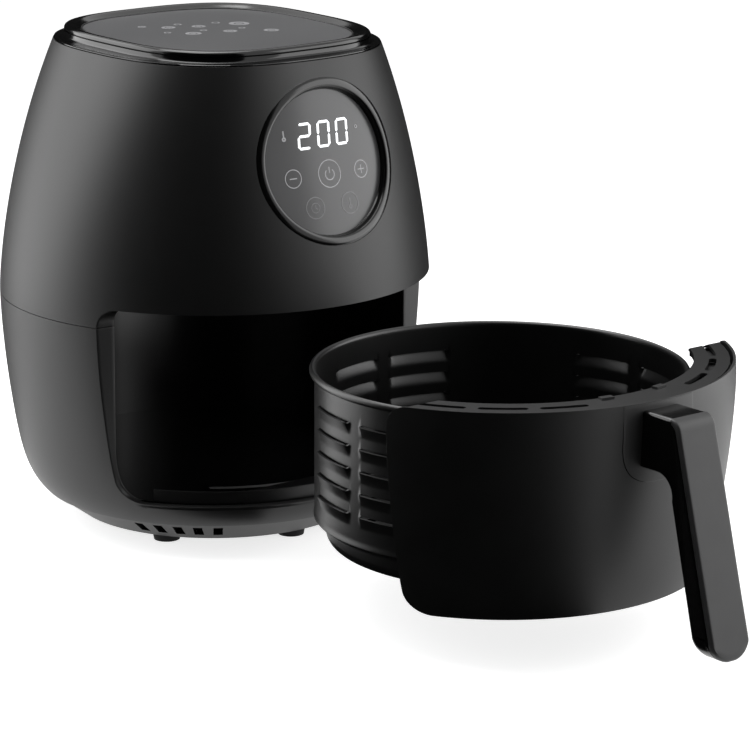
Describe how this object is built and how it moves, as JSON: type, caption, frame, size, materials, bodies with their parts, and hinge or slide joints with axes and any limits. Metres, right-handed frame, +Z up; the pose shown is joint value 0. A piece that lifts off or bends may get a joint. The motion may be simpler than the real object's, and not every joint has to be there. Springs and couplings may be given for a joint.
{
  "type": "air fryer",
  "caption": "Barrel-shaped countertop air fryer with its drawer drawn out, a control disc, a hot-air fan and a lift-out crisper plate.",
  "frame": {"origin": "on the table, under the barrel housing's axis, at the middle of the ring of six feet", "axes": "+Z up, -Y to the front, where the drawer comes out, +X to the right of someone who faces the front"},
  "size_m": [0.2676, 0.6005, 0.307],
  "materials": {
    "shell": "satin",
    "gloss": "gloss",
    "dark_glass": "gloss",
    "rubber": "matte",
    "board": "satin",
    "white_part": "satin",
    "sheet_steel": "brushed",
    "coil": "satin",
    "silicone": "matte",
    "coated_metal": "satin",
    "handle_gloss": "gloss",
    "cover_satin": "satin",
    "red_part": "satin",
    "screw": "satin"
  },
  "bodies": {
    "housing": {"upper_shell": "shell", "lower_shell": "shell", "base_tray": "shell", "rubber_feet": "rubber", "shoulder_ring": "gloss", "top_tray": "gloss", "top_inlay": "dark_glass", "disc_ring": "gloss", "control_glass": "dark_glass", "display_module": "white_part", "control_board": "board", "cavity_liner": "sheet_steel", "cavity_floor": "shell", "floor_rail": "shell", "stop_post": "shell", "reflector_plate": "sheet_steel", "reflector_dome": "sheet_steel", "seal_ring": "silicone", "heater_coil": "coil", "coil_clips": "sheet_steel", "motor": "sheet_steel", "motor_bracket": "sheet_steel", "temperature_sensor": "sheet_steel", "thermal_fuse": "white_part", "power_board": "board", "switch_housing": "shell", "outlet_grille": "shell", "cord_inlet": "shell", "base_posts": "shell", "base_screws": "screw"},
    "rotor": {"hot_air_fan": "sheet_steel", "motor_shaft": "sheet_steel", "cooling_fan": "white_part"},
    "plunger": {"switch_plunger": "red_part"},
    "drawer": {"pot": "coated_metal", "front_panel": "shell", "panel_back": "shell", "vent_cover": "shell", "cover_clips": "shell", "handle_plate": "gloss", "handle_bracket": "sheet_steel", "handle_body": "handle_gloss", "handle_cover": "cover_satin", "handle_screws": "screw"},
    "crisper": {"crisper_plate": "coated_metal", "plate_feet": "silicone"}
  },
  "joints": [
    {"name": "drawer_slide", "type": "slide", "parent": "housing", "child": "drawer", "axis": [0, 1, 0], "range_m": [0, 0.272]},
    {"name": "plate_lift", "type": "slide", "parent": "drawer", "child": "crisper", "axis": [0, 0, 1], "range_m": [0, 0.088]},
    {"name": "fan_spin", "type": "hinge", "parent": "housing", "child": "rotor", "pos_m": [0, 0, 0.2], "axis": [0, 0, 1], "continuous": true},
    {"name": "switch_press", "type": "slide", "parent": "housing", "child": "plunger", "axis": [0, 1, 0], "range_m": [0, 0.002]}
  ]
}
